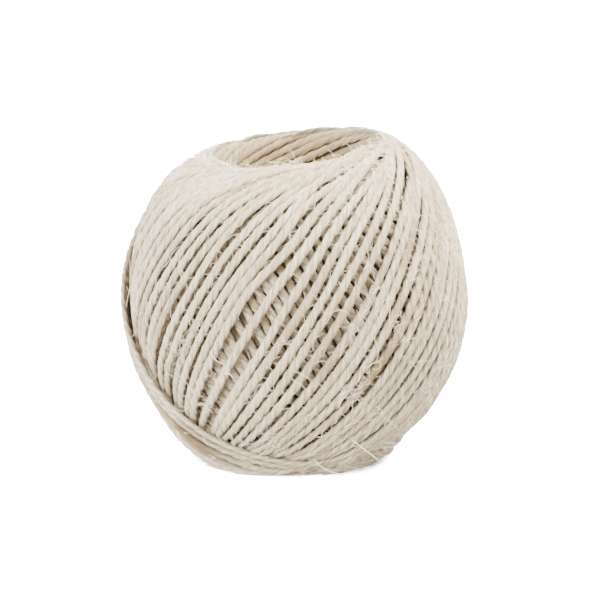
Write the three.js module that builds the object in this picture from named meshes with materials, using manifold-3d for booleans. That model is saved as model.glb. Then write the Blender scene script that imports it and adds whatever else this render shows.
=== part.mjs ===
import * as THREE from "three";
import Module from "manifold-3d";

// A ball of natural twine, wound by turning it on its upright axis while the string circles it on a slant.
// Millimetres and degrees. The ground is Z 0, the winding axis is Z, and the front is the -Y side.
const BALL_CENTRE_HEIGHT = 36.5;
const TURN_TILT = 31;
const TURNS_ROUND = 80;
const GROOVE_DEPTH = 0.95;
const LAY_RISE = 1.4;
const BAND_TURNS = 3;
const BAND_RISE = 0.4;
const LAST_TURN = 106;

// The wound form: distance from the ball's centre at each angle above or below its middle.
// The turns cross thickest round the two ends and heap up there as shoulders.
const FORM = [
  { angle: 0, upper: 38.6, lower: 38.6 },
  { angle: 15, upper: 38.9, lower: 38.5 },
  { angle: 30, upper: 40.1, lower: 38.8 },
  { angle: 42, upper: 41.5, lower: 39.6 },
  { angle: 52, upper: 42.2, lower: 40.8 },
  { angle: 57, upper: 42.1, lower: 41.7 },
  { angle: 61, upper: 41.7, lower: 42.3 },
  { angle: 65, upper: 39.9, lower: 41.4 },
];
const RIM_ANGLES = [56, 59, 62, 64.5];

// The last turns heap the shoulders highest at the back right, so that the rim of the hole dips at the front left.
const SHOULDER_HEAP = { from: 34, full: 60, azimuth: 135, upper: 3.0, lower: 0.4 };

// Turns that lie further apart on the front, so that the layer below shows as a slot.
const SLOTS = [
  { azimuth: -17.75, drop: 2.0 },
  { azimuth: -8.75, drop: 2.0 },
  { azimuth: -44.75, drop: 0.7 },
  { azimuth: 31.75, drop: 0.8 },
];

// The winding hole: a waist left by the spindle, opening to a funnel at both ends.
const WAIST_RADIUS = 5.5;
const FUNNEL_SLOPE = 0.5;
const FUNNEL_TOP = 31.5;
const WALL_TURN_PITCH = 2.5;
const WALL_TURNS = 6;
const WALL_GROOVE = 0.7;

// Grid: two columns a turn, a crest and a groove, half as many round the rims and a quarter down the hole.
const COLUMNS = 2 * TURNS_ROUND;
const RIM_COLUMNS = COLUMNS / 2;
const WALL_COLUMNS = COLUMNS / 4;
const FIRST_TURN = LAST_TURN - 360 + 360 / COLUMNS;
const LAY_ROWS = 14;
const PLAIN_WALL_ROWS = 5;
const BACK_LAY = { first: 88, last: LAST_TURN + 180, depth: 4 };

const rad = THREE.MathUtils.degToRad;
const deg = THREE.MathUtils.radToDeg;
const tiltSin = Math.sin(rad(TURN_TILT));
const tiltCos = Math.cos(rad(TURN_TILT));

// A turn runs from its lowest point to its highest over a half circle. The drawn part stops short of both,
// where it has swung round the axis by a whole number of wall columns.
const END_SWING = 6 * (360 / WALL_COLUMNS);
const END_ALONG = deg(Math.atan(Math.tan(rad(END_SWING)) / tiltSin));

function swing(along) {
  return deg(Math.atan2(tiltSin * Math.sin(rad(along)), Math.cos(rad(along))));
}

function latitude(along) {
  return deg(Math.asin(tiltCos * Math.sin(rad(along))));
}

function formReach(lat) {
  const angle = Math.min(Math.abs(lat), FORM[FORM.length - 1].angle);
  const next = Math.max(1, FORM.findIndex((row) => row.angle >= angle));
  const a = FORM[next - 1];
  const b = FORM[next];
  const half = lat > 0 ? "upper" : "lower";
  return THREE.MathUtils.mapLinear(angle, a.angle, b.angle, a[half], b[half]);
}

function heapRise(lat, azimuth) {
  const rise = lat > 0 ? SHOULDER_HEAP.upper : SHOULDER_HEAP.lower;
  const share = THREE.MathUtils.smoothstep(Math.abs(lat), SHOULDER_HEAP.from, SHOULDER_HEAP.full);
  return rise * share * Math.cos(rad(azimuth - SHOULDER_HEAP.azimuth));
}

// A point at that angle above the middle, azimuth from the front towards +X, and distance from the centre,
// raised with the heap of its shoulder.
function onBall(lat, azimuth, reach) {
  const flat = reach * Math.cos(rad(lat));
  return new THREE.Vector3(
    flat * Math.sin(rad(azimuth)),
    -flat * Math.cos(rad(azimuth)),
    BALL_CENTRE_HEIGHT + reach * Math.sin(rad(lat)) + heapRise(lat, azimuth),
  );
}

// How far along the winding a turn was laid: 1 is the last turn, and half a round of the ball is 1.
// A turn is named by the azimuth where it rises through the ball's middle, and it falls through it opposite.
function laidAt(azimuth) {
  return (azimuth + 180 - LAST_TURN) / 180;
}

function layLift(laid, along) {
  const fade = 1 - Math.pow(Math.abs(along) / END_ALONG, 6);
  const band = laid > 1 - (BAND_TURNS * 2) / TURNS_ROUND ? BAND_RISE : 0;
  return (LAY_RISE * laid + band) * fade;
}

// The rising turns: each row is a ring round the ball, and each column follows one turn upwards.
function risingRow(along) {
  const ring = [];
  for (let column = 0; column < COLUMNS; column += 1) {
    const start = (column * 360) / COLUMNS + FIRST_TURN;
    const azimuth = start + swing(along);
    const lat = latitude(along);
    const groove = column % 2 === 0 ? GROOVE_DEPTH * Math.cos(rad(along)) : 0;
    const slot = SLOTS.find((row) => Math.abs(row.azimuth - start) < 180 / COLUMNS);
    const drop = slot ? slot.drop * Math.cos(rad(along)) : 0;
    const reach = formReach(lat) + layLift(laidAt(start), along) - groove - drop;
    ring.push(onBall(lat, azimuth, reach));
  }
  return ring;
}

function rimRing(lat, side) {
  const ring = [];
  for (let column = 0; column < RIM_COLUMNS; column += 1) {
    const azimuth = (column * 360) / RIM_COLUMNS + FIRST_TURN + side * END_SWING;
    ring.push(onBall(side * lat, azimuth, formReach(side * lat)));
  }
  return ring;
}

function wallRing(height, inset) {
  const ring = [];
  const radius = Math.hypot(WAIST_RADIUS, FUNNEL_SLOPE * height) + inset;
  for (let column = 0; column < WALL_COLUMNS; column += 1) {
    const azimuth = rad((column * 360) / WALL_COLUMNS + FIRST_TURN + END_SWING);
    const z = BALL_CENTRE_HEIGHT + height;
    ring.push(new THREE.Vector3(radius * Math.sin(azimuth), -radius * Math.cos(azimuth), z));
  }
  return ring;
}

// Joins two rings of points with triangles. Their lengths are the same, or one is a whole multiple of the other.
function joinRings(triangles, lower, upper, shift) {
  const fine = Math.max(lower.length, upper.length);
  for (let k = 0; k < fine; k += 1) {
    const a0 = lower[Math.floor((k * lower.length) / fine)];
    const a1 = lower[Math.floor(((k + 1) * lower.length) / fine) % lower.length];
    const b0 = upper[(Math.floor((k * upper.length) / fine) + shift) % upper.length];
    const b1 = upper[(Math.floor(((k + 1) * upper.length) / fine) + shift) % upper.length];
    if (a0 !== a1) {
      triangles.push([a0, a1, b1]);
    }
    if (b0 !== b1) {
      triangles.push([a0, b1, b0]);
    }
  }
}

// The whole ball with its rising turns, the rims and the hole: rings in one closed loop, up the outside
// and down the inside.
function risingLay() {
  const rings = [];
  for (let row = 0; row <= LAY_ROWS; row += 1) {
    rings.push(risingRow(END_ALONG * ((2 * row) / LAY_ROWS - 1)));
  }
  RIM_ANGLES.forEach((angle) => rings.push(rimRing(angle, 1)));
  for (let step = 0; step <= 2 * WALL_TURNS; step += 1) {
    const inset = step % 2 === 0 ? WALL_GROOVE : 0;
    rings.push(wallRing(FUNNEL_TOP - (step * WALL_TURN_PITCH) / 2, inset));
  }
  const plainTop = FUNNEL_TOP - (WALL_TURNS + 1) * WALL_TURN_PITCH;
  for (let row = 0; row <= PLAIN_WALL_ROWS; row += 1) {
    rings.push(wallRing(plainTop - ((plainTop + FUNNEL_TOP) * row) / PLAIN_WALL_ROWS, 0));
  }
  const lowerRims = RIM_ANGLES.map((angle) => rimRing(angle, -1)).reverse();
  const triangles = [];
  for (let k = 1; k < rings.length; k += 1) {
    joinRings(triangles, rings[k - 1], rings[k], 0);
  }
  const turnBack = (2 * END_SWING * RIM_COLUMNS) / 360;
  joinRings(triangles, rings[rings.length - 1], lowerRims[0], turnBack);
  for (let k = 1; k < lowerRims.length; k += 1) {
    joinRings(triangles, lowerRims[k - 1], lowerRims[k], 0);
  }
  joinRings(triangles, lowerRims[lowerRims.length - 1], rings[0], 0);
  return triangles;
}

// The falling turns that cover the back: a curved slab whose outer side is ridged and whose inner side and
// ends are sunk in the ball. It ends with the band of last turns at the lower left of the front.
function fallingLay() {
  const step = 360 / COLUMNS;
  const columns = Math.round((BACK_LAY.last - BACK_LAY.first) / step);
  const outer = [];
  const inner = [];
  for (let row = 0; row <= LAY_ROWS; row += 1) {
    const along = END_ALONG * ((2 * row) / LAY_ROWS - 1);
    const lat = latitude(along);
    outer.push([]);
    inner.push([]);
    for (let column = 0; column <= columns; column += 1) {
      const start = BACK_LAY.first + column * step;
      const azimuth = start - swing(along);
      const form = formReach(lat);
      const groove = column % 2 === 0 ? GROOVE_DEPTH * Math.cos(rad(along)) : 0;
      const sunk = row === 0 || row === LAY_ROWS || column === 0 ? 2 : 0;
      const lift = layLift(laidAt(start - 180), along) - groove - sunk;
      outer[row].push(onBall(lat, azimuth, form + lift));
      inner[row].push(onBall(lat, azimuth, form - BACK_LAY.depth));
    }
  }
  const triangles = [];
  for (let row = 1; row <= LAY_ROWS; row += 1) {
    for (let column = 1; column <= columns; column += 1) {
      const skins = [
        [outer[row - 1][column - 1], outer[row - 1][column], outer[row][column], outer[row][column - 1]],
        [inner[row - 1][column], inner[row - 1][column - 1], inner[row][column - 1], inner[row][column]],
      ];
      skins.forEach(([a, b, c, d]) => triangles.push([a, b, c], [a, c, d]));
    }
  }
  const edge = [];
  for (let column = 0; column < columns; column += 1) {
    edge.push([0, column]);
  }
  for (let row = 0; row < LAY_ROWS; row += 1) {
    edge.push([row, columns]);
  }
  for (let column = columns; column > 0; column -= 1) {
    edge.push([LAY_ROWS, column]);
  }
  for (let row = LAY_ROWS; row > 0; row -= 1) {
    edge.push([row, 0]);
  }
  edge.forEach(([row, column], k) => {
    const [nextRow, nextColumn] = edge[(k + 1) % edge.length];
    const a = inner[row][column];
    const b = inner[nextRow][nextColumn];
    const c = outer[nextRow][nextColumn];
    const d = outer[row][column];
    triangles.push([a, b, c], [a, c, d]);
  });
  return triangles;
}

const wasm = await Module();
wasm.setup();

function solidOf(triangles) {
  const number = new Map();
  const places = [];
  const corners = [];
  triangles.flat().forEach((point) => {
    if (!number.has(point)) {
      number.set(point, number.size);
      places.push(point.x, point.y, point.z);
    }
    corners.push(number.get(point));
  });
  const vertProperties = new Float32Array(places);
  const triVerts = new Uint32Array(corners);
  return new wasm.Manifold(new wasm.Mesh({ numProp: 3, vertProperties, triVerts }));
}

// The ground, as a block under Z 0: what sinks into it is pressed flat, and the ball rests there.
function groundBlock() {
  const block = new THREE.BoxGeometry(120, 120, 20).translate(0, 0, -10);
  const place = block.getAttribute("position");
  const points = new Map();
  const corners = [];
  for (let k = 0; k < place.count; k += 1) {
    const point = new THREE.Vector3().fromBufferAttribute(place, k);
    const key = point.toArray().join();
    if (!points.has(key)) {
      points.set(key, point);
    }
    corners.push(points.get(key));
  }
  const index = Array.from(block.getIndex().array, (k) => corners[k]);
  const triangles = [];
  for (let k = 0; k < index.length; k += 3) {
    triangles.push(index.slice(k, k + 3));
  }
  return solidOf(triangles);
}

const ball = solidOf(risingLay()).add(solidOf(fallingLay())).subtract(groundBlock());
const made = ball.getMesh();
const shape = new THREE.BufferGeometry();
shape.setAttribute("position", new THREE.BufferAttribute(new Float32Array(made.vertProperties), 3));
shape.setIndex(Array.from(made.triVerts));
shape.computeVertexNormals();

const twine = new THREE.MeshStandardMaterial({ color: 0xded5c6, roughness: 0.95, metalness: 0 });
const stringBall = new THREE.Mesh(shape, twine);
stringBall.name = "string_ball";

const part = new THREE.Group();
part.name = "ball_of_string";
part.add(stringBall);

export default part;
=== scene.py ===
import math

import bpy
import numpy as np
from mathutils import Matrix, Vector


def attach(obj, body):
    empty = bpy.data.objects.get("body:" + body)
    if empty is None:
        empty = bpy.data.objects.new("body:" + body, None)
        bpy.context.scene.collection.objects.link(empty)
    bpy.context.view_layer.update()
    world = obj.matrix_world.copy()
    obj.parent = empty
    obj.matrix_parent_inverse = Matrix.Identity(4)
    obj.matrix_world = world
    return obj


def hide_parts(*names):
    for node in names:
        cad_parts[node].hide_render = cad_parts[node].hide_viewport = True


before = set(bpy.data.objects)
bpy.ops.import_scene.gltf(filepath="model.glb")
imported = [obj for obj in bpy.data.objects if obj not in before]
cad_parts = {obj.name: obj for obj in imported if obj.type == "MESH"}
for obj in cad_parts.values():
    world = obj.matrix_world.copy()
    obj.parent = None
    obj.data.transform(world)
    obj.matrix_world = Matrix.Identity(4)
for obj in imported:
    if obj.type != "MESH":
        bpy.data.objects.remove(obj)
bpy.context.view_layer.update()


# THE OUTER TURNS
# One length of bleached plant-fibre string, wound on a slant by a machine while the ball turns on
# its upright axis. Each turn misses both ends, which leaves a hole along the axis, and lies over
# the turns before it.

# Lengths are millimetres from the ball's centre, and azimuth runs from the front (-Y) towards +X.
# Strands lie pressed into each other and into the floor, so they take a little less than half their
# thickness and radius.
CENTRE_HEIGHT = 36.5
STRING_RADIUS = 0.96
STRING_FLATTEN = 0.73
HALF_THICKNESS = 0.95 * STRING_FLATTEN * STRING_RADIUS
LOWEST_PATH = 0.93 * STRING_RADIUS - CENTRE_HEIGHT
TURN_TILT = math.radians(31)
TURN_RADIUS = 40
SAMPLES = 320
rng = np.random.default_rng(7)

# The wound surface's distance from the centre at angles above (upper) and below (lower) the middle.
FORM_ANGLE = np.radians([0, 15, 30, 42, 52, 57, 61, 65])
FORM_UPPER = np.array([38.6, 39.0, 40.6, 42.3, 43.0, 42.7, 42.2, 40.5])
FORM_LOWER = np.array([38.6, 38.5, 38.8, 39.6, 40.8, 41.7, 42.3, 41.4])

# The last turns heap up on one side of each shoulder, between these latitudes.
HEAP_AZIMUTH = math.radians(135)
HEAP_UPPER, HEAP_LOWER = 3.0, 1.1
HEAP_LATITUDES = math.radians(34), math.radians(60)


def smoothstep(x, low, high):
    """0 below low, 1 above high, and 3t^2 - 2t^3 between."""
    t = np.clip((x - low) / (high - low), 0, 1)
    return t * t * (3 - 2 * t)


def smoothed(values, reach, spread):
    """Each value becomes the mean of those up to reach steps away, weighted by a bell curve of this
    spread."""
    bell = np.exp(-0.5 * (np.arange(-reach, reach + 1) / spread) ** 2)
    return np.convolve(np.pad(values, reach, mode="edge"), bell / bell.sum(), mode="valid")


def form_reach(latitude):
    """The wound surface's distance from the centre: straight lines between the rows of the form
    table."""
    angle = np.abs(latitude)
    upper = np.interp(angle, FORM_ANGLE, FORM_UPPER)
    return np.where(latitude > 0, upper, np.interp(angle, FORM_ANGLE, FORM_LOWER))


def heap_rise(latitude, azimuth):
    """How far the heap lifts a shoulder: a cosine of the azimuth, fading in with the distance from
    the middle."""
    share = smoothstep(np.abs(latitude), *HEAP_LATITUDES)
    return np.where(latitude > 0, HEAP_UPPER, HEAP_LOWER) * share * np.cos(azimuth - HEAP_AZIMUTH)


# Azimuths, in degrees, where the turns seen on the front rise through the ball's middle. They lie
# close on the left and wider on the right, with a wide gap on each side of the turn at -14.7 that
# closes towards the top.
FRONT_TURNS = (-75.5, -70.5, -65.5, -60.0, -54.7, -50.3, -43.8, -39.3, -34.6, -30.4, -26.7, -22.8,
               -14.7, -6.8, -2.1, 2.7, 7.2, 12.7, 18.9, 23.2, 26.8, 32.1, 37.5, 42.5, 46.9, 51.5,
               56.4, 61.6)
# The gaps lie between these azimuths. The turns wound before keep a margin from the first one here.
FRONT_GAPS = -52, 8
FRONT_MARGIN = 3
# Pitch and unevenness, in degrees, of the turns wound before and after those.
BEFORE_PITCH, BEFORE_UNEVEN = 4.7, 0.45
AFTER_PITCH, AFTER_UNEVEN = 5.3, 0.2
# The last turn, and where the string would rise once more.
LAST_TURN, STRING_END = 97.0, 101.0
# Two of the turns beneath lie apart on each side of this azimuth: the dark pocket in the front gap.
POCKET, POCKET_SHIFT, POCKET_REACH = -199.5, 1.7, 15


def turn_azimuths():
    """Azimuths where the turns rise through the ball's middle, first to last over one round: an
    even pitch with a little unevenness up to the front turns, the front turns, and an even pitch
    again to the last turn. The pocket moves its neighbours away by shift * exp(-distance / reach).
    Also where the turns point near the top, which takes up the front gaps by an even spacing
    between their ends."""
    before = np.arange(LAST_TURN - 360, FRONT_TURNS[0] - FRONT_MARGIN, BEFORE_PITCH)
    from_pocket = before - POCKET
    before += POCKET_SHIFT * np.sign(from_pocket) * np.exp(-np.abs(from_pocket) / POCKET_REACH)
    after = np.arange(FRONT_TURNS[-1] + AFTER_PITCH, LAST_TURN + 1, AFTER_PITCH)
    found = np.concatenate([before + rng.normal(0, BEFORE_UNEVEN, len(before)), FRONT_TURNS,
                            after + rng.normal(0, AFTER_UNEVEN, len(after)), [STRING_END]])
    slack = np.flatnonzero((found > FRONT_GAPS[0]) & (found < FRONT_GAPS[1]))
    even = found.copy()
    even[slack] = np.linspace(found[slack[0]], found[slack[-1]], len(slack))
    return found, even


def slow_noise(positions, wavelength, size):
    """A smooth random curve along the string: random values one wavelength apart, joined by half
    cosines."""
    knots = rng.normal(0, size, int(positions[-1] / wavelength) + 3)
    x = positions / wavelength
    cell = np.floor(x).astype(int)
    t = 0.5 - 0.5 * np.cos(np.pi * (x - cell))
    return knots[cell] * (1 - t) + knots[cell + 1] * t


def on_turn(along, azimuth, tilt, slide):
    """Directions from the centre: a turn that rises through the middle at an azimuth is the circle
    cos(s) * level + sin(s) * rising, where level points out at that azimuth and rising is the
    upright leaned eastward by the tilt. Each point is then moved sideways by its slide and put back
    at a distance of 1."""
    zero = np.zeros_like(along)
    level = np.stack([np.sin(azimuth), -np.cos(azimuth), zero], -1)
    east = np.stack([np.cos(azimuth), np.sin(azimuth), zero], -1)
    up = np.array([0.0, 0.0, 1.0])
    rising = np.cos(tilt)[:, None] * up + np.sin(tilt)[:, None] * east
    side = np.sin(tilt)[:, None] * up - np.cos(tilt)[:, None] * east
    place = np.cos(along)[:, None] * level + np.sin(along)[:, None] * rising + slide[:, None] * side
    return place / np.linalg.norm(place, axis=1, keepdims=True)


def swing(tilt, along):
    """Degrees of azimuth that a turn gains from the middle on: the arc tangent of
    sin(tilt) * tan(along)."""
    return np.degrees(np.arctan2(math.sin(tilt) * np.sin(along), np.cos(along)))


# The last turns lean more, over this many degrees of azimuth, and make the band over the lower left
# of the front.
BAND_TILT = math.radians(38.5)
BAND_WIDTH = 14
# A turn comes out from under the later ones in these degrees before it crosses the last of them,
# and it goes under in these degrees past an end of the ball.
CROSSING = -11, -1
PAST_END = 2, 16


def under_later_turns(laid, falling, from_middle, latitude):
    """How deep each point lies under later turns, 0 to 1, and its degrees past the end of the ball.
    A turn stays under until its azimuth meets that of the last turn at the same latitude."""
    swung = swing(TURN_TILT, from_middle)
    past_end = swung + 90
    lean = np.arcsin(np.clip(np.sin(latitude) / math.cos(BAND_TILT), -1, 1))
    last_swung = swing(BAND_TILT, lean)
    until_cross = np.where(falling, LAST_TURN + last_swung - (laid + 180 + swung),
                           LAST_TURN - 180 - last_swung - (laid + swung))
    return smoothstep(until_cross, *CROSSING) * smoothstep(past_end, *PAST_END), past_end


# Crowding near the ends: the room at which turns that arrive on top or leave beneath start to
# narrow, the least width at the upper and lower end, and how deep the arriving and the leaving
# turns sink, in string radii.
ROOM_ON_TOP, ROOM_BENEATH = 0.72, 0.78
LEAST_UPPER, LEAST_LOWER = 0.95, 0.78
SINK_ON_TOP, SINK_BENEATH = 0.5, 1.0
# The crowd at the middle and at most, the least room, how fast a crowded turn sinks, and how far
# into the band the turns stop sinking.
CROWD_AT_MIDDLE, CROWD_MOST, LEAST_ROOM = 0.8, 4, 0.05
SINK_RATE = 2.4
BAND_STAYS_UP = 0.1, 0.4
GOLDEN_RATIO = 0.618034


def crowding(turn, band, from_middle, latitude):
    """How narrow each turn is squeezed near the ends, and how deep it sinks. The room shrinks with
    the cosine of the angle from the middle. Below its limit a turn narrows in step, and those that
    still find no room sink, in an order that the golden ratio spreads so that a few stay up between
    many."""
    room = np.cos(from_middle)
    on_top = from_middle > 0
    least = np.where(latitude > 0, LEAST_UPPER, LEAST_LOWER)
    narrow = np.clip(room / np.where(on_top, ROOM_ON_TOP, ROOM_BENEATH), least, 1)
    crowd = np.minimum(CROWD_AT_MIDDLE * narrow / np.maximum(room, LEAST_ROOM), CROWD_MOST)
    from_lower_end = turn + 0.25
    rank = (np.floor(from_lower_end) * GOLDEN_RATIO) % 1
    deepest = np.where(on_top, SINK_ON_TOP, SINK_BENEATH) * STRING_RADIUS
    sunk = np.clip(SINK_RATE * (crowd * rank - 1), 0, 1.0)
    return narrow, sunk * deepest * (1 - smoothstep(band, *BAND_STAYS_UP))


# Unevenness along the string, as a wavelength in millimetres and a size: the slant's in degrees,
# the slide's in radians (the last row only near the ends, where the lower end has less of it), and
# the height's in millimetres.
SLANT_NOISE = 240, 0.8
SLIDE_FINE, SLIDE_SLOW, SLIDE_AT_ENDS = (14, 0.0025), (60, 0.002), (126, 0.03)
HEIGHT_FINE, HEIGHT_SLOW = (9, 0.07), (120, 0.12)
END_WIDTH, LOWER_END_SHARE = 0.16, 0.3
# The front gaps close between these shares of the way up.
GAPS_CLOSE = 0.22, 0.6
# How far the winding and the band lift the later turns, which fades out at the ends.
LAY_RISE, BAND_RISE = 1.4, 0.4
LIFT_FADES = math.radians(69.5)
# How deep a turn lies under the ones that cross it, and how deep the string's end is tucked in,
# over what share of a turn.
CROSS_MOST, CROSS_LEAST = 2.1, 0.3
TUCK_DEPTH, TUCK_SHARE = 3.4, 0.14
# Outside the front gaps the strands are pressed this much wider, fading in over these azimuths.
PRESSED_WIDER = 0.1
PRESSED_LEFT, PRESSED_RIGHT = (-62, -46), (8, 26)
# The path is smoothed over this many samples each way, with this spread.
PATH_SMOOTHING = 9, 4


def wind():
    """The string's path, the length along it, how deep each point lies under later turns (0 to 1),
    its width as a share, and the turns' azimuths. The distance from the centre is the form, plus a
    lift that grows with the winding, less half the string's thickness, the depth of the crossings,
    the sinking near the ends and the tuck of the string's end, then smoothed along the string. The
    heap lifts the result, and the floor stops it."""
    start, start_above = turn_azimuths()
    count = len(start) - 1
    number = np.arange(count + 1)
    turn = np.arange(count * SAMPLES + 1) / SAMPLES
    length = turn * 2 * np.pi * TURN_RADIUS
    along = (2 * np.pi * turn + np.pi / 2) % (2 * np.pi) - np.pi / 2
    falling = along > np.pi / 2
    from_middle = np.where(falling, along - np.pi, along)
    closed = smoothstep(np.sin(along), *GAPS_CLOSE)
    laid = np.interp(turn, number, start) + closed * np.interp(turn, number, start_above - start)
    near_end = np.exp(-((np.abs(np.sin(along)) - 1) / END_WIDTH) ** 2)
    near_end *= np.where(np.sin(along) > 0, 1, LOWER_END_SHARE)
    band = np.clip((laid - LAST_TURN + BAND_WIDTH) / BAND_WIDTH, 0, 1)
    tilt = TURN_TILT + (BAND_TILT - TURN_TILT) * band + np.radians(slow_noise(length, *SLANT_NOISE))
    slide = slow_noise(length, *SLIDE_FINE) + slow_noise(length, *SLIDE_SLOW)
    slide += near_end * slow_noise(length, *SLIDE_AT_ENDS)
    place = on_turn(along, np.radians(laid), tilt, slide)
    latitude = np.arcsin(place[:, 2])
    azimuth = np.arctan2(place[:, 0], -place[:, 1])

    under, past_end = under_later_turns(laid, falling, from_middle, latitude)
    fade = np.clip(1 - (np.abs(from_middle) / LIFT_FADES) ** 6, 0, 1)
    since = (laid + 180 - LAST_TURN) / 180
    lift = (LAY_RISE * since + BAND_RISE * band * falling) * fade
    cross_depth = under * np.maximum(CROSS_LEAST, CROSS_MOST - LAY_RISE * fade * past_end / 90)
    narrow, sink = crowding(turn, band, from_middle, latitude)
    tucked = TUCK_DEPTH * smoothstep(turn, count - TUCK_SHARE, count)
    uneven = slow_noise(length, *HEIGHT_FINE) + slow_noise(length, *HEIGHT_SLOW)
    reach = form_reach(latitude) + lift - HALF_THICKNESS - cross_depth - sink - tucked + uneven
    path = place * smoothed(reach, *PATH_SMOOTHING)[:, None]
    path[:, 2] += heap_rise(latitude, azimuth)
    path[:, 2] = np.maximum(path[:, 2], LOWEST_PATH)
    pressed = 1 - smoothstep(laid, *PRESSED_LEFT) + smoothstep(laid, *PRESSED_RIGHT)
    return path, length, under, narrow * (1 + PRESSED_WIDER * pressed), start


def in_metres(points):
    """Millimetres from the ball's centre to metres from where it rests, one row for each point."""
    return points.reshape(-1, 3) * 0.001 + np.array([0, 0, CENTRE_HEIGHT * 0.001])


def put_in_scene(name, data):
    """An object for a mesh, a lamp or a camera, in the scene's own collection."""
    made = bpy.data.objects.new(name, data)
    bpy.context.scene.collection.objects.link(made)
    return made


def sweep(name, centre, out, radius, angle, thick, wide):
    """Closed tubes along paths. centre and out are (tubes, samples, 3), radius and angle
    (tubes, samples, sides): each vertex is the path point plus
    radius * (thick * cos(angle) * outward + wide * sin(angle) * across)."""
    tubes, rows, sides = radius.shape
    ahead = np.gradient(centre, axis=1)
    ahead /= np.linalg.norm(ahead, axis=2, keepdims=True)
    out = out - (out * ahead).sum(2, keepdims=True) * ahead
    out /= np.linalg.norm(out, axis=2, keepdims=True)
    across = np.cross(ahead, out)
    points = (centre[:, :, None] + (thick * radius * np.cos(angle))[..., None] * out[:, :, None]
              + (wide * radius * np.sin(angle))[..., None] * across[:, :, None])
    points[..., 2] = np.maximum(points[..., 2], -CENTRE_HEIGHT)
    verts = in_metres(points)
    first = np.arange(tubes)[:, None, None] * rows * sides
    row, col = np.arange(rows - 1)[None, :, None], np.arange(sides)[None, None, :]
    after = (col + 1) % sides
    this_row, next_row = first + row * sides, first + (row + 1) * sides
    quads = np.stack([this_row + col, this_row + after, next_row + after, next_row + col], -1)
    quads = quads.reshape(-1, 4)
    ends = np.concatenate([first[:, 0] + np.arange(sides)[::-1],
                           first[:, 0] + (rows - 1) * sides + np.arange(sides)])
    corners = np.concatenate([quads.ravel(), ends.ravel()])
    starts = np.concatenate([np.arange(len(quads)) * 4, quads.size + np.arange(len(ends)) * sides])
    mesh = bpy.data.meshes.new(name)
    mesh.vertices.add(len(verts))
    mesh.vertices.foreach_set("co", verts.astype(np.float32).ravel())
    mesh.loops.add(len(corners))
    mesh.loops.foreach_set("vertex_index", corners.astype(np.int32))
    mesh.polygons.add(len(starts))
    mesh.polygons.foreach_set("loop_start", starts.astype(np.int32))
    mesh.polygons.foreach_set("use_smooth", np.ones(len(starts), bool))
    mesh.update(calc_edges=True)
    return put_in_scene(name, mesh)


# Section of the string, three plies: angles from a ply's crest, and shares of the string's radius.
SECTION_ANGLE = np.radians((np.arange(3)[:, None] * 120 + np.array([0, 36, 60, 84])).ravel())
SECTION_RADIUS = np.tile([1.06, 0.97, 0.76, 0.97], 3)
SECTION_CREASE = np.tile([0, 0.1, 1, 0.1], 3)
# Lengths in which the plies and the fibres in them go round once, how much the "lay" below shortens
# the string, the size of the roughness, and the cosines between which a side counts as a flank,
# where the material paints shade.
PLY_PITCH = 10.5
FIBRE_PITCH = 25.0
LAY_STRETCH = 0.06
ROUGHNESS = 0.085
FLANK_FROM, FLANK_TO = -0.15, 0.6


def twisted_string(name, centre, out, length, tan, narrow):
    """Three-ply string along paths, pressed flat against what lies behind it. The section turns
    left-handed with the length, one full turn each ply pitch, so the crests and creases of the
    plies run along the mesh. Slow sines of the length make its twist, its thickness and the depth
    of its creases uneven, and quick ones roughen it.

    Stores for the material: "lay", the place on the string with the fibres straightened; "crease",
    1 between the plies; "flank", 1 on the sides and underneath; and "tan", how brown the fibre is
    there."""
    twist = (-2 * np.pi * length / PLY_PITCH + 0.5 * np.sin(length / 9.0)
             + 0.5 * np.sin(length / 23.0))
    thick = (1 + 0.05 * np.sin(length / 3.7 + 2 * np.sin(length / 11.3))
             + 0.05 * np.sin(length / 8.1) + 0.06 * np.sin(length / 37.0))
    firm = 0.8 + 0.4 * np.sin(length / 14.3 + 1.7 * np.sin(length / 41.0))
    length = length[..., None]
    angle = twist[..., None] + SECTION_ANGLE
    lobes = 1 - (1 - SECTION_RADIUS) * firm[..., None]
    rough = 1 + ROUGHNESS * np.sin(2 * SECTION_ANGLE + length / 0.9) * np.sin(length / 2.7)
    radius = STRING_RADIUS * thick[..., None] * lobes * rough
    thing = sweep(name, centre, out, radius, angle, STRING_FLATTEN, narrow[..., None])
    spun = angle + 2 * np.pi * (length / FIBRE_PITCH + length / PLY_PITCH)
    along = np.broadcast_to(length * LAY_STRETCH, spun.shape)
    # Where the material paints shade between the plies.
    crease = np.broadcast_to(SECTION_CREASE, spun.shape)
    # Where the material paints shade on a strand's sides and underneath.
    flank = 1 - smoothstep(np.cos(angle), FLANK_FROM, FLANK_TO)
    brown = np.broadcast_to(tan[..., None], spun.shape)
    lay = np.stack([np.cos(spun), np.sin(spun), along], -1)
    stored = thing.data.attributes.new("lay", "FLOAT_VECTOR", "POINT")
    stored.data.foreach_set("vector", lay.astype(np.float32).ravel())
    for key, values in (("crease", crease), ("flank", flank), ("tan", brown)):
        stored = thing.data.attributes.new(key, "FLOAT", "POINT")
        stored.data.foreach_set("value", values.astype(np.float32).ravel())
    return thing


def linear(hex_colour):
    """sRGB hex to linear RGBA: v / 12.92 for the darkest values of a channel, else
    ((v + 0.055) / 1.055)^2.4."""
    values = [int(hex_colour[i:i + 2], 16) / 255 for i in (0, 2, 4)]
    return [v / 12.92 if v <= 0.04045 else ((v + 0.055) / 1.055) ** 2.4 for v in values] + [1.0]


def bare_tree(owner):
    """The emptied node tree of a material or a world."""
    owner.use_nodes = True
    owner.node_tree.nodes.clear()
    return owner.node_tree


def add(tree, kind, inputs=None, **settings):
    """Adds a node, with its settings and with each input linked to a socket or set to a value."""
    made = tree.nodes.new(kind)
    for key, value in settings.items():
        setattr(made, key, value)
    for key, value in (inputs or {}).items():
        if isinstance(value, bpy.types.NodeSocket):
            tree.links.new(value, made.inputs[key])
        else:
            made.inputs[key].default_value = value
    return made
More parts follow.
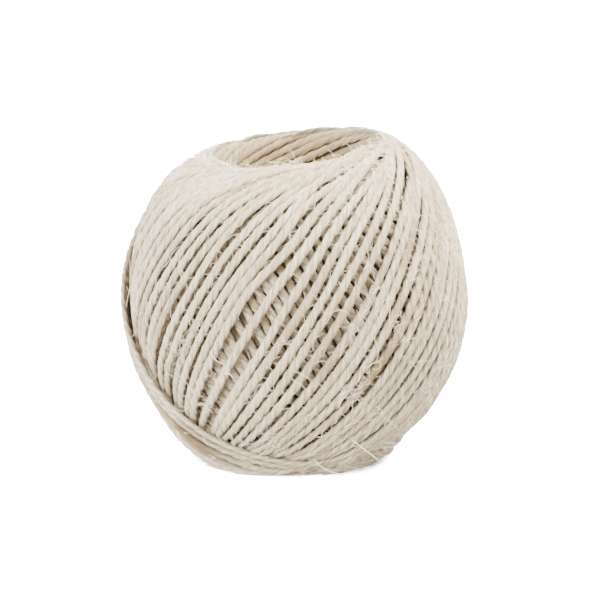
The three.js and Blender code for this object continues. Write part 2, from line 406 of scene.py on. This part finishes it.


# Bleached plant fibre, combed and spun: matt cream, with fine streaks along the fibre, browner
# where bleach didn't reach, painted shade in the creases, on the strands' flanks and under later
# turns, and a soft glow at the edges from the loose fibre ends.
twine = bpy.data.materials.new("bleached_twine")
tree = bare_tree(twine)
lay = add(tree, "ShaderNodeAttribute", attribute_name="lay").outputs["Vector"]
crease = add(tree, "ShaderNodeAttribute", attribute_name="crease").outputs["Fac"]
flank = add(tree, "ShaderNodeAttribute", attribute_name="flank").outputs["Fac"]
tan = add(tree, "ShaderNodeAttribute", attribute_name="tan").outputs["Fac"]
# A fibre bundle is about 0.1 mm wide; drawn 0.3 mm wide and 5 mm long so that it shows.
STREAK_WIDTH = 0.3
streak = add(tree, "ShaderNodeTexNoise", {
    "Vector": lay, "Scale": STRING_RADIUS / STREAK_WIDTH, "Detail": 5.0,
    "Roughness": 0.75}).outputs["Fac"]
share = add(tree, "ShaderNodeMapRange", {"Value": streak, "From Min": 0.4, "From Max": 0.59})
body = add(tree, "ShaderNodeMix", {"Factor": share.outputs["Result"], "A": linear("B59C74"),
                                   "B": linear("FFEDC8")}, data_type="RGBA")
# Brown from stains and tone drift, and painted shade under later turns and deep in the hole.
tan_and_shade = add(tree, "ShaderNodeMix", {"Factor": tan, "A": body.outputs["Result"],
                                      "B": linear("87651A")}, data_type="RGBA")
# Painted shade: the creases between the plies are darkened towards a grey-brown.
crease_shade = add(tree, "ShaderNodeMapRange", {"Value": crease, "To Max": 0.55})
creased = add(tree, "ShaderNodeMix", {"Factor": crease_shade.outputs["Result"],
                                      "A": tan_and_shade.outputs["Result"],
                                      "B": linear("877A67")}, data_type="RGBA")
# Painted shade: a strand's sides and underside are darkened towards a dark grey-brown.
flank_shade = add(tree, "ShaderNodeMapRange", {"Value": flank, "To Max": 0.7})
shaded = add(tree, "ShaderNodeMix", {"Factor": flank_shade.outputs["Result"],
                                     "A": creased.outputs["Result"],
                                     "B": linear("696053")}, data_type="RGBA")
bump = add(tree, "ShaderNodeBump", {"Height": streak, "Strength": 1.0, "Distance": 0.0011})
shader = add(tree, "ShaderNodeBsdfPrincipled", {
    "Base Color": shaded.outputs["Result"], "Roughness": 0.9, "Sheen Weight": 0.2,
    "Specular IOR Level": 0.15, "Normal": bump.outputs["Normal"]})
add(tree, "ShaderNodeOutputMaterial", {"Surface": shader.outputs["BSDF"]})

# Places the bleach missed: the azimuth where the turn rises, the degrees along the turn from there,
# half the length in degrees, and how brown.
STAINS = np.array([(-65.5, 60, 6, 0.8), (-50.3, 4, 14, 0.35), (26.8, 30, 11, 0.7),
                   (32.1, 6, 8, 0.45), (18.9, -14, 6, 0.4), (-60.0, -4, 7, 0.5),
                   (-70.5, -12, 8, 0.5), (7.2, 36, 8, 0.3), (37.5, -20, 9, 0.3),
                   (-26.7, 22, 10, 0.25), (82.8, 238, 10, 1.0), (88.1, 234, 7, 0.4),
                   (77.5, 244, 8, 0.7)])
# How the tone drifts along the string, as a wavelength in millimetres and a size, up to a limit,
# and how much browner it is where it lies under later turns, as painted shade.
TONE_QUICK, TONE_QUICK_MOST = (22, 0.21), 0.5
TONE_SLOW, TONE_SLOW_MOST = (130, 0.11), 0.3
UNDER_SHADE = 0.2
TURN_PIECES = ("turns_first", "turns_second", "turns_third", "turns_last")

string_path, string_length, string_under, string_narrow, turn_starts = wind()
turn_count = len(turn_starts) - 1
drift = (np.clip(slow_noise(string_length, *TONE_QUICK), 0, TONE_QUICK_MOST)
         + np.clip(slow_noise(string_length, *TONE_SLOW), 0, TONE_SLOW_MOST))
stained_turn = np.abs(turn_starts[:, None] - STAINS[:, 0]).argmin(0)
wound = 360.0 * np.arange(len(string_path))[:, None] / SAMPLES
from_stain = wound - (360 * stained_turn + STAINS[:, 1])
stain = (STAINS[:, 3] * np.exp(-(from_stain / STAINS[:, 2]) ** 2)).sum(1)
# The stains and the drifting tone are the fibre's own; the browning under later turns is painted
# shade.
string_tan = np.clip(drift + UNDER_SHADE * string_under + stain, 0, 1)
piece_turns = np.linspace(0, turn_count, len(TURN_PIECES) + 1).astype(int)
for index, name in enumerate(TURN_PIECES):
    part = slice(piece_turns[index] * SAMPLES, piece_turns[index + 1] * SAMPLES + 1)
    path = string_path[None, part]
    outward = path / np.linalg.norm(path, axis=2, keepdims=True)
    turns = twisted_string(name, path, outward, string_length[None, part],
                           string_tan[None, part], string_narrow[None, part])
    turns.data.materials.append(twine)
    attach(turns, "root")
    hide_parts("string_ball")


# THE TURNS ROUND THE HOLE
# Inside each end, the earlier turns show where they pass the axis: they come in under the rim and
# wind eastward down the funnel, packed side by side, browner than the outside, and browner still
# further down as painted shade.
HOLE_TURNS, HOLE_SPACING = 20, 1.6
HOLE_UNEVEN = 0.03
HOLE_SMOOTHING = 6, 3
STEEPEST_SINE = 0.97
# Radius and height of the lining, from under the outer turns over the rim's crest to the waist, and
# the heights between which the heap lifts it.
HOLE_RADIUS = np.array([21.4, 20.9, 20.0, 18.9, 18.3, 17.8, 14.8, 12.5, 10.4, 8.5, 7.4, 7.0])
HOLE_HEIGHT = np.array([32.2, 34.0, 35.4, 35.1, 33.7, 31.5, 25.0, 20.0, 15.0, 10.0, 6.0, -0.5])
HOLE_HEAP_HEIGHTS = 27, 35


def hole_lining(side, samples):
    """Strands on a surface of revolution that curls in over the rim and down the funnel. With the
    strands packed at a spacing p, the sine of their slope is HOLE_TURNS * p over the circumference,
    so they steepen as it narrows. Two sines of the depth, out of step from strand to strand, move
    each a little in and out."""
    steps = np.hypot(np.diff(HOLE_RADIUS), np.diff(HOLE_HEIGHT))
    marks = np.concatenate([[0], np.cumsum(steps)])
    deep = np.linspace(0, marks[-1], samples)
    radius = smoothed(np.interp(deep, marks, HOLE_RADIUS), *HOLE_SMOOTHING)
    height = smoothed(np.interp(deep, marks, HOLE_HEIGHT), *HOLE_SMOOTHING)
    slope = np.arcsin(np.clip(HOLE_TURNS * HOLE_SPACING / (2 * np.pi * radius), 0, STEEPEST_SINE))
    swept = np.concatenate([[0], np.cumsum(np.diff(deep) / (np.tan(slope) * radius)[1:])])
    start = np.arange(HOLE_TURNS) * 2 * np.pi / HOLE_TURNS
    start = start + rng.normal(0, HOLE_UNEVEN, HOLE_TURNS)
    azimuth = start[:, None] + swept[None, :]
    wave = rng.uniform(0, 2 * np.pi, (HOLE_TURNS, 2))
    off = 0.25 * np.sin(deep / 3.1 + wave[:, :1]) + 0.2 * np.sin(deep / 1.7 + wave[:, 1:])
    flat = radius + off
    heap = HEAP_UPPER if side > 0 else HEAP_LOWER
    lifted = heap * smoothstep(height, *HOLE_HEAP_HEIGHTS) * np.cos(azimuth - HEAP_AZIMUTH)
    z = np.maximum(side * height + lifted, LOWEST_PATH)
    centre = np.stack([flat * np.sin(azimuth), -flat * np.cos(azimuth), z], -1)
    run = np.cumsum(np.linalg.norm(np.gradient(centre, axis=1), axis=2), axis=1)
    face = np.arctan2(np.gradient(-height), np.gradient(-radius))
    inward, upward = -np.sin(face), side * np.cos(face)
    out = np.stack([inward * np.sin(azimuth), -inward * np.cos(azimuth), upward + 0 * azimuth], -1)
    return centre, out, run + rng.uniform(0, 400, (HOLE_TURNS, 1)), deep


# How brown the lining is at the rim, how much browner further in as painted shade and between which
# depths, and how much that changes along a strand and from strand to strand.
HOLE_TAN, HOLE_DEPTH_SHADE = 0.53, 0.3
HOLE_SHADE_DEPTHS = 4, 14
HOLE_TAN_ALONG, HOLE_TAN_STRANDS = 0.12, 0.08

for name, side, samples in (("upper_hole_turns", 1, 150), ("lower_hole_turns", -1, 115)):
    hole_path, hole_out, hole_run, hole_deep = hole_lining(side, samples)
    hole_tan = (HOLE_TAN + HOLE_DEPTH_SHADE * smoothstep(hole_deep, *HOLE_SHADE_DEPTHS)
                + HOLE_TAN_ALONG * np.sin(hole_run / 13)
                + rng.normal(0, HOLE_TAN_STRANDS, (HOLE_TURNS, 1)))
    lining = twisted_string(name, hole_path, hole_out, hole_run, np.clip(hole_tan, 0, 1),
                            np.ones_like(hole_run))
    lining.data.materials.append(twine)
    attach(lining, "root")
    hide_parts("string_ball")


# THE PACKED TURNS BENEATH
# What shows at the bottom of the gaps: the older turns of the same string, wound tight and in
# shade, as one closed body.
BENEATH_DEPTH, FLOOR_GAP = 3.1, 0.6
BENEATH_LATITUDE, BENEATH_ROWS, BENEATH_COLUMNS = 60, 60, 180
BENEATH_HEAP_HEIGHTS = 24, 33
WAIST_RADIUS, FUNNEL_SLOPE, LINING_THICKNESS = 5.5, 0.5, 2.4
FUNNEL_HEIGHT, FUNNEL_ROWS = 31, 30


def packed_body():
    """A ring-shaped surface of revolution: out along the form less a depth, in over the rims and
    through the hole, whose radius at a height h is the square root of waist^2 + (slope * h)^2, plus
    the lining's thickness."""
    latitude = np.radians(np.linspace(-BENEATH_LATITUDE, BENEATH_LATITUDE, BENEATH_ROWS))
    reach = form_reach(latitude) - BENEATH_DEPTH
    outer = np.stack([reach * np.cos(latitude), reach * np.sin(latitude)], -1)
    heights = np.linspace(FUNNEL_HEIGHT, -FUNNEL_HEIGHT, FUNNEL_ROWS)
    funnel = np.hypot(WAIST_RADIUS, FUNNEL_SLOPE * heights) + LINING_THICKNESS
    inner = np.stack([funnel, heights], -1)
    profile = np.concatenate([outer, inner])
    azimuth = np.linspace(0, 2 * np.pi, BENEATH_COLUMNS, endpoint=False)
    flat, z = profile[:, :1], profile[:, 1:]
    lifted = heap_rise(np.arctan2(z, flat), azimuth[None, :])
    lifted = lifted * smoothstep(np.abs(z), *BENEATH_HEAP_HEIGHTS)
    points = np.stack([flat * np.sin(azimuth), -flat * np.cos(azimuth), z + lifted], -1)
    points[..., 2] = np.maximum(points[..., 2], FLOOR_GAP - CENTRE_HEIGHT)
    rows = len(profile)
    row, col = np.meshgrid(np.arange(rows), np.arange(BENEATH_COLUMNS), indexing="ij")
    down, right = (row + 1) % rows, (col + 1) % BENEATH_COLUMNS
    this_row, next_row = row * BENEATH_COLUMNS, down * BENEATH_COLUMNS
    quads = np.stack([this_row + col, this_row + right, next_row + right, next_row + col], -1)
    quads = quads.reshape(-1, 4)
    mesh = bpy.data.meshes.new("packed_turns")
    mesh.from_pydata(in_metres(points).tolist(), [], quads.tolist())
    mesh.polygons.foreach_set("use_smooth", np.ones(len(quads), bool))
    return put_in_scene("packed_turns", mesh)


# The older turns of the same fibre, painted a dull dark brown for the shade deep in the gaps, with
# a coarse grain about half a strand wide, 1.1 mm, which is 900 to the metre.
gap_shade_material = bpy.data.materials.new("painted_gap_shade")
tree = bare_tree(gap_shade_material)
place = add(tree, "ShaderNodeTexCoord").outputs["Object"]
grain = add(tree, "ShaderNodeTexNoise", {"Vector": place, "Scale": 900.0, "Detail": 4.0,
                                         "Roughness": 0.7}).outputs["Fac"]
body = add(tree, "ShaderNodeMix", {"Factor": grain, "A": linear("4E3F2F"),
                                   "B": linear("8F7D66")}, data_type="RGBA")
bump = add(tree, "ShaderNodeBump", {"Height": grain, "Strength": 1.0, "Distance": 0.0008})
shader = add(tree, "ShaderNodeBsdfPrincipled", {
    "Base Color": body.outputs["Result"], "Roughness": 0.95, "Specular IOR Level": 0.1,
    "Normal": bump.outputs["Normal"]})
add(tree, "ShaderNodeOutputMaterial", {"Surface": shader.outputs["BSDF"]})

packed = packed_body()
packed.data.materials.append(gap_shade_material)
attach(packed, "root")
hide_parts("string_ball")


# THE LOOSE FIBRES
# Fibre ends that the spinning left out: short curved hairs that stand off the outer strands all
# round, some of them in tufts, and a few long stiff ones at the front.
FIBRE_COUNT, FIBRE_STEPS = 5000, 6
TUFTS, TUFT_FIBRES, TUFT_SAMPLES = 30, 35, 7
# A real fibre is thinner; drawn 0.1 mm thick at its root so that it shows.
FIBRE_RADIUS, FIBRE_TAPER = 0.052, 0.5
# The least length, and the shape and scale of the gamma distribution that is added to it.
FIBRE_LEAST, FIBRE_SHAPE, FIBRE_SCALE = 0.8, 2.2, 1.2
# The spread of the angles at which fibres leave the string, run along it and bend, and of their
# rise as a share.
LEAVE_SPREAD, RUN_SPREAD, BEND_SPREAD = 0.7, 0.8, 0.6
RISE_MEAN, RISE_SPREAD = 0.25, 0.3
# How much and how fast a fibre wavers, how much it droops, and its root's share of the radius.
WAVER_SIZE, WAVER_RATE, DROOP, ROOT_DEPTH = 0.5, 5, 0.4, 0.95


def loose_fibres():
    """Each fibre leaves the string's surface at a random place and angle, runs near along the
    string and bends. With u from 0 to 1, its points are
    start + run * ahead(u) + aside * sideways(u) + outward * rise(u), where ahead and sideways add
    up the cosine and the sine of a heading that drifts and wavers with u."""
    free = np.flatnonzero(string_under < 0.05)
    pick = free[rng.integers(5, len(free) - 5, FIBRE_COUNT)]
    tufted = TUFTS * TUFT_FIBRES
    pick[:tufted] = (np.repeat(pick[:TUFTS], TUFT_FIBRES)
                     + rng.integers(-TUFT_SAMPLES, TUFT_SAMPLES + 1, tufted))
    pick = np.clip(pick, 3, len(string_path) - 4)
    base = string_path[pick]
    ahead = string_path[pick + 2] - string_path[pick - 2]
    ahead /= np.linalg.norm(ahead, axis=1, keepdims=True)
    out = base / np.linalg.norm(base, axis=1, keepdims=True)
    across = np.cross(ahead, out)
    around = rng.normal(0, LEAVE_SPREAD, FIBRE_COUNT)
    leave = np.cos(around)[:, None] * out + np.sin(around)[:, None] * across
    turn = rng.normal(0, RUN_SPREAD, FIBRE_COUNT) + np.pi * rng.integers(0, 2, FIBRE_COUNT)
    run = np.cos(turn)[:, None] * ahead + np.sin(turn)[:, None] * across
    aside = np.cross(run, out)
    reach = (rng.gamma(FIBRE_SHAPE, FIBRE_SCALE, FIBRE_COUNT) + FIBRE_LEAST)[:, None]
    share = np.linspace(0, 1, FIBRE_STEPS)[None, :]
    bend = rng.normal(0, BEND_SPREAD, FIBRE_COUNT)[:, None] * share * 2
    waver = share * WAVER_RATE + rng.uniform(0, 6.3, FIBRE_COUNT)[:, None]
    heading = bend + WAVER_SIZE * np.sin(waver)
    ahead_by = np.cumsum(np.cos(heading), axis=1) * reach / FIBRE_STEPS
    aside_by = np.cumsum(np.sin(heading), axis=1) * reach / FIBRE_STEPS
    rise = rng.normal(RISE_MEAN, RISE_SPREAD, FIBRE_COUNT)[:, None] * reach
    rise = rise * share * (1 - DROOP * share)
    begin = base + leave * STRING_RADIUS * ROOT_DEPTH
    centre = (begin[:, None] + run[:, None] * ahead_by[..., None] + out[:, None] * rise[..., None]
              + aside[:, None] * aside_by[..., None])
    thin = FIBRE_RADIUS * (1 - FIBRE_TAPER * share[0] ** 2)
    radius = np.broadcast_to(thin[None, :, None], (FIBRE_COUNT, FIBRE_STEPS, 3))
    angle = np.broadcast_to(np.arange(3) * 2 * np.pi / 3, radius.shape)
    outward = np.broadcast_to(out[:, None], centre.shape)
    return sweep("loose_fibres", centre, outward, radius, angle, 1.0, 1.0)


# The long ones: azimuth and latitude of the root, then two steps to the right and up.
LONG_FIBRES = np.array([(24.6, -40.8, 2.8, -2.2, 3.0, -2.2), (8.5, -48.5, 2.6, -3.0, 4.2, -0.4),
                        (0.6, -56.1, 1.3, -0.8, 1.2, -1.0), (3.3, 2.5, -2.2, -2.2, 0.7, -2.4),
                        (-28.0, -8.0, 0.6, -1.8, 1.9, -0.6), (-24.0, -15.0, 1.0, 0.6, 1.0, -1.4)])
LONG_STEPS = 12
LONG_RADIUS, LONG_TAPER = 0.12, 0.4
# How far each of the two steps also comes forward, and the root's share of the winding's lift.
FORWARD_FIRST, FORWARD_SECOND = 0.5, 0.3
ROOT_LIFT = 0.7


def long_fibres():
    """Each runs from its root on the outer strands along a curve with one bend: two straight steps,
    with the corner rounded as root * (1 - u)^2 + 2 * corner * u * (1 - u) + tip * u^2, for u
    from 0 to 1."""
    azimuth, latitude = np.radians(LONG_FIBRES[:, 0]), np.radians(LONG_FIBRES[:, 1])
    facing = np.stack([np.sin(azimuth) * np.cos(latitude), -np.cos(azimuth) * np.cos(latitude),
                       np.sin(latitude)], -1)
    root = facing * (form_reach(latitude) + LAY_RISE * ROOT_LIFT)[:, None]
    level = np.zeros(len(root))
    corner = root + np.stack([LONG_FIBRES[:, 2], level - FORWARD_FIRST, LONG_FIBRES[:, 3]], -1)
    tip = corner + np.stack([LONG_FIBRES[:, 4], level - FORWARD_SECOND, LONG_FIBRES[:, 5]], -1)
    u = np.linspace(0, 1, LONG_STEPS)[None, :, None]
    centre = (root[:, None] * (1 - u) ** 2 + 2 * corner[:, None] * u * (1 - u)
              + tip[:, None] * u ** 2)
    radius = np.broadcast_to(LONG_RADIUS * (1 - LONG_TAPER * u), (len(root), LONG_STEPS, 4))
    angle = np.broadcast_to(np.arange(4) * np.pi / 2, radius.shape)
    outward = np.broadcast_to(facing[:, None], centre.shape)
    return sweep("long_fibres", centre, outward, radius, angle, 1.0, 1.0)


# Single plant fibres, combed but not spun in: pale and a little glossy, with a tone that changes
# every 4 mm or so, which is 250 to the metre.
fibre = bpy.data.materials.new("plant_fibre")
tree = bare_tree(fibre)
place = add(tree, "ShaderNodeTexCoord").outputs["Object"]
tone = add(tree, "ShaderNodeTexNoise", {"Vector": place, "Scale": 250.0, "Detail": 1.0})
body = add(tree, "ShaderNodeMix", {"Factor": tone.outputs["Fac"], "A": linear("E0D0B0"),
                                   "B": linear("FFF3DC")}, data_type="RGBA")
shader = add(tree, "ShaderNodeBsdfPrincipled", {"Base Color": body.outputs["Result"],
                                                "Roughness": 0.55})
add(tree, "ShaderNodeOutputMaterial", {"Surface": shader.outputs["BSDF"]})

for hairs in (loose_fibres(), long_fibres()):
    hairs.data.materials.append(fibre)
    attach(hairs, "root")
    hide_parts("string_ball")


# FLOOR, LIGHT AND CAMERA
# A white sweep that the exposure takes to paper white, soft light from above and all round, and a
# long lens a little above the ball's middle. What the camera sees of floor and sky is brighter than
# the light they give.
FLOOR_HALF = 8
FLOOR_GIVES, FLOOR_SEEN = (0.34, 0.34, 0.34, 1), (12.0, 12.0, 12.0, 1)
SKY_GIVES, SKY_SEEN = 2.5, 20.0

floor_mesh = bpy.data.meshes.new("floor")
floor_corners = FLOOR_HALF * np.array([(-1, -1, 0), (1, -1, 0), (1, 1, 0), (-1, 1, 0)])
floor_mesh.from_pydata(floor_corners.tolist(), [], [(0, 1, 2, 3)])
floor = put_in_scene("floor", floor_mesh)
sweep_paper = bpy.data.materials.new("white_sweep")
tree = bare_tree(sweep_paper)
seen = add(tree, "ShaderNodeLightPath").outputs["Is Camera Ray"]
white = add(tree, "ShaderNodeMix", {"Factor": seen, "A": FLOOR_GIVES, "B": FLOOR_SEEN},
            data_type="RGBA")
shader = add(tree, "ShaderNodeBsdfDiffuse", {"Color": white.outputs["Result"]})
add(tree, "ShaderNodeOutputMaterial", {"Surface": shader.outputs["BSDF"]})
floor_mesh.materials.append(sweep_paper)

world = bpy.data.worlds.new("studio")
tree = bare_tree(world)
seen = add(tree, "ShaderNodeLightPath").outputs["Is Camera Ray"]
level = add(tree, "ShaderNodeMapRange", {"Value": seen, "To Min": SKY_GIVES, "To Max": SKY_SEEN})
glow = add(tree, "ShaderNodeBackground", {"Color": (1, 1, 1, 1),
                                          "Strength": level.outputs["Result"]})
add(tree, "ShaderNodeOutputWorld", {"Surface": glow.outputs["Background"]})
bpy.context.scene.world = world

LAMP_AIM = Vector((0, 0, 0.036))


def area_light(name, place, size, power, colour):
    """A soft square lamp aimed at the ball's middle."""
    data = bpy.data.lights.new(name, "AREA")
    data.size = size
    data.energy = power
    data.color = colour
    lamp = put_in_scene(name, data)
    lamp.location = place
    lamp.rotation_euler = (LAMP_AIM - Vector(place)).to_track_quat("-Z", "Y").to_euler()


area_light("softbox", (0.5, 0.08, 0.9), 0.6, 75.0, (1.0, 0.955, 0.885))
area_light("left_softbox", (-0.66, -0.66, 0.22), 0.6, 44.0, (1.0, 1.0, 1.0))

# The camera's angle above the level, its distance in metres and its lens and sensor in millimetres,
# and how far the ball sits left of and below the frame's middle.
CAMERA_ELEVATION = math.radians(9)
CAMERA_DISTANCE = 0.6
LENS, SENSOR = 155.3, 36
FRAME_PIXELS, LEFT_PIXELS, DOWN_PIXELS = 600, 5, 3

camera_data = bpy.data.cameras.new("camera")
camera_data.lens = LENS
camera_data.sensor_width = SENSOR
camera_data.shift_x = LEFT_PIXELS / FRAME_PIXELS
camera_data.shift_y = DOWN_PIXELS / FRAME_PIXELS
camera = put_in_scene("camera", camera_data)
back = Vector((0, -math.cos(CAMERA_ELEVATION), math.sin(CAMERA_ELEVATION)))
camera.location = Vector((0, 0, CENTRE_HEIGHT * 0.001)) + back * CAMERA_DISTANCE
camera.rotation_euler = (-back).to_track_quat("-Z", "Y").to_euler()
bpy.context.scene.camera = camera
